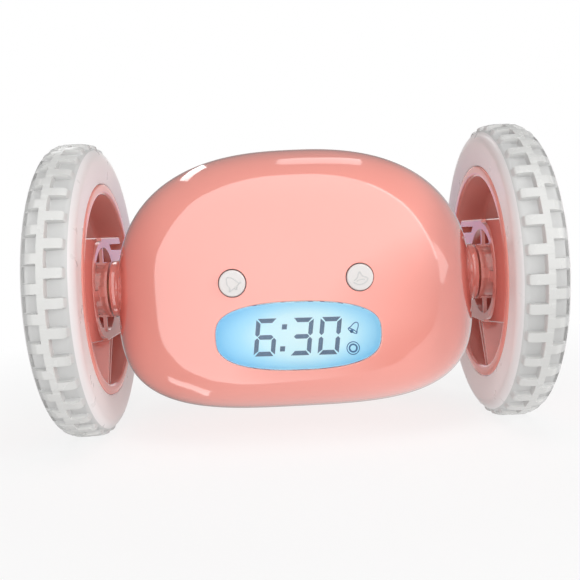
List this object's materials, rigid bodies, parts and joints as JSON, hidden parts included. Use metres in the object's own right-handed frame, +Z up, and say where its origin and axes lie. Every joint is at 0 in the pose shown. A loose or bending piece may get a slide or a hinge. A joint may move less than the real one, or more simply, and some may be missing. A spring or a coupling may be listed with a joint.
{
  "type": "runaway alarm clock",
  "caption": "Egg-shaped alarm clock that rolls away on large side wheels, with a lit digital display, round front buttons and setting keys, speaker and battery door behind.",
  "frame": {"origin": "on the floor, below the middle of the body and the wheel axles", "axes": "+Z up; the display faces -Y; the wheel axles lie along X, with the right-hand wheel (seen from the front) at +X"},
  "size_m": [0.1346, 0.085, 0.085],
  "materials": {
    "casing": "glossy coral pink",
    "wheel": "glossy darker coral pink",
    "tyre": "satin white",
    "lens": "clear, polished",
    "lcd": "lit pale blue",
    "segments": "dark blue-grey",
    "diffuser": "milky, lit",
    "button": "satin white",
    "white_plastic": "satin white",
    "black_plastic": "matt black",
    "strip": "matt",
    "board": "green solder mask",
    "screw": "zinc plated",
    "pin": "ground",
    "contact": "nickel plated",
    "bush": "sintered",
    "gear": "natural nylon",
    "motor_can": "plated",
    "cell": "printed sleeve",
    "speaker_frame": "plated"
  },
  "bodies": {
    "case": {"front_shell": "casing", "rear_shell": "casing", "case_screws": "screw", "display_lens": "lens", "lcd_panel": "lcd", "lcd_segments": "segments", "light_guide": "diffuser", "display_frame": "white_plastic", "contact_strip": "strip", "main_board": "board", "board_chips": "black_plastic", "board_screws": "screw", "front_switches": "black_plastic", "key_board": "board", "key_switches": "black_plastic", "speaker": "speaker_frame", "speaker_cone": "black_plastic", "speaker_grille": "casing", "battery_tray": "white_plastic", "batteries": "cell", "battery_springs": "contact", "battery_plates": "contact", "left_motor": "motor_can", "left_idler_pin": "pin", "left_gearbox_plate": "white_plastic", "left_gearbox_cover": "white_plastic", "left_bush": "bush", "right_motor": "motor_can", "right_idler_pin": "pin", "right_gearbox_plate": "white_plastic", "right_gearbox_cover": "white_plastic", "right_bush": "bush"},
    "battery_cover": {"battery_door": "casing", "battery_door_screw": "screw"},
    "alarm_push": {"alarm_button": "button"},
    "snooze_push": {"snooze_button": "button"},
    "hour_push": {"hour_key": "button"},
    "minute_push": {"minute_key": "button"},
    "time_push": {"time_key": "button"},
    "alarm_set_push": {"alarm_key": "button"},
    "left_wheel": {"left_rim": "wheel", "left_hub": "wheel", "left_tyre": "tyre", "left_wheel_cover": "wheel", "left_wheel_screw": "screw", "left_axle": "pin", "left_output_gear": "gear"},
    "right_wheel": {"right_rim": "wheel", "right_hub": "wheel", "right_tyre": "tyre", "right_wheel_cover": "wheel", "right_wheel_screw": "screw", "right_axle": "pin", "right_output_gear": "gear"},
    "left_idler": {"left_idler_gear": "gear"},
    "right_idler": {"right_idler_gear": "gear"},
    "left_pinion": {"left_motor_pinion": "gear"},
    "right_pinion": {"right_motor_pinion": "gear"}
  },
  "joints": [
    {"name": "left_wheel_spin", "type": "hinge", "parent": "case", "child": "left_wheel", "pos_m": [-0.05, 0, 0.0425], "axis": [1, 0, 0], "continuous": true},
    {"name": "right_wheel_spin", "type": "hinge", "parent": "case", "child": "right_wheel", "pos_m": [0.05, 0, 0.0425], "axis": [1, 0, 0], "continuous": true},
    {"name": "left_idler_spin", "type": "hinge", "parent": "case", "child": "left_idler", "pos_m": [-0.033, 0.00497, 0.02899], "axis": [1, 0, 0], "continuous": true},
    {"name": "right_idler_spin", "type": "hinge", "parent": "case", "child": "right_idler", "pos_m": [0.033, 0.00497, 0.02899], "axis": [1, 0, 0], "continuous": true},
    {"name": "left_pinion_spin", "type": "hinge", "parent": "case", "child": "left_pinion", "pos_m": [-0.03, -0.009, 0.0255], "axis": [1, 0, 0], "continuous": true},
    {"name": "right_pinion_spin", "type": "hinge", "parent": "case", "child": "right_pinion", "pos_m": [0.03, -0.009, 0.0255], "axis": [1, 0, 0], "continuous": true},
    {"name": "alarm_press", "type": "slide", "parent": "case", "child": "alarm_push", "axis": [0, 1, 0], "range_m": [0, 0.0006], "stiffness_N_per_m": 400, "springref_m": -0.0003},
    {"name": "snooze_press", "type": "slide", "parent": "case", "child": "snooze_push", "axis": [0, 1, 0], "range_m": [0, 0.0006], "stiffness_N_per_m": 400, "springref_m": -0.0003},
    {"name": "hour_press", "type": "slide", "parent": "case", "child": "hour_push", "axis": [0, -1, 0], "range_m": [0, 0.0006], "stiffness_N_per_m": 400, "springref_m": -0.0003},
    {"name": "minute_press", "type": "slide", "parent": "case", "child": "minute_push", "axis": [0, -1, 0], "range_m": [0, 0.0006], "stiffness_N_per_m": 400, "springref_m": -0.0003},
    {"name": "time_press", "type": "slide", "parent": "case", "child": "time_push", "axis": [0, -1, 0], "range_m": [0, 0.0006], "stiffness_N_per_m": 400, "springref_m": -0.0003},
    {"name": "alarm_set_press", "type": "slide", "parent": "case", "child": "alarm_set_push", "axis": [0, -1, 0], "range_m": [0, 0.0006], "stiffness_N_per_m": 400, "springref_m": -0.0003},
    {"name": "battery_door_pull", "type": "slide", "parent": "case", "child": "battery_cover", "axis": [0, 1, 0], "range_m": [0, 0.02]}
  ],
  "couplings": [
    {"joint": "left_idler_spin", "follows": "left_wheel_spin", "ratio": -3},
    {"joint": "left_pinion_spin", "follows": "left_wheel_spin", "ratio": 9},
    {"joint": "right_idler_spin", "follows": "right_wheel_spin", "ratio": -3},
    {"joint": "right_pinion_spin", "follows": "right_wheel_spin", "ratio": 9}
  ]
}
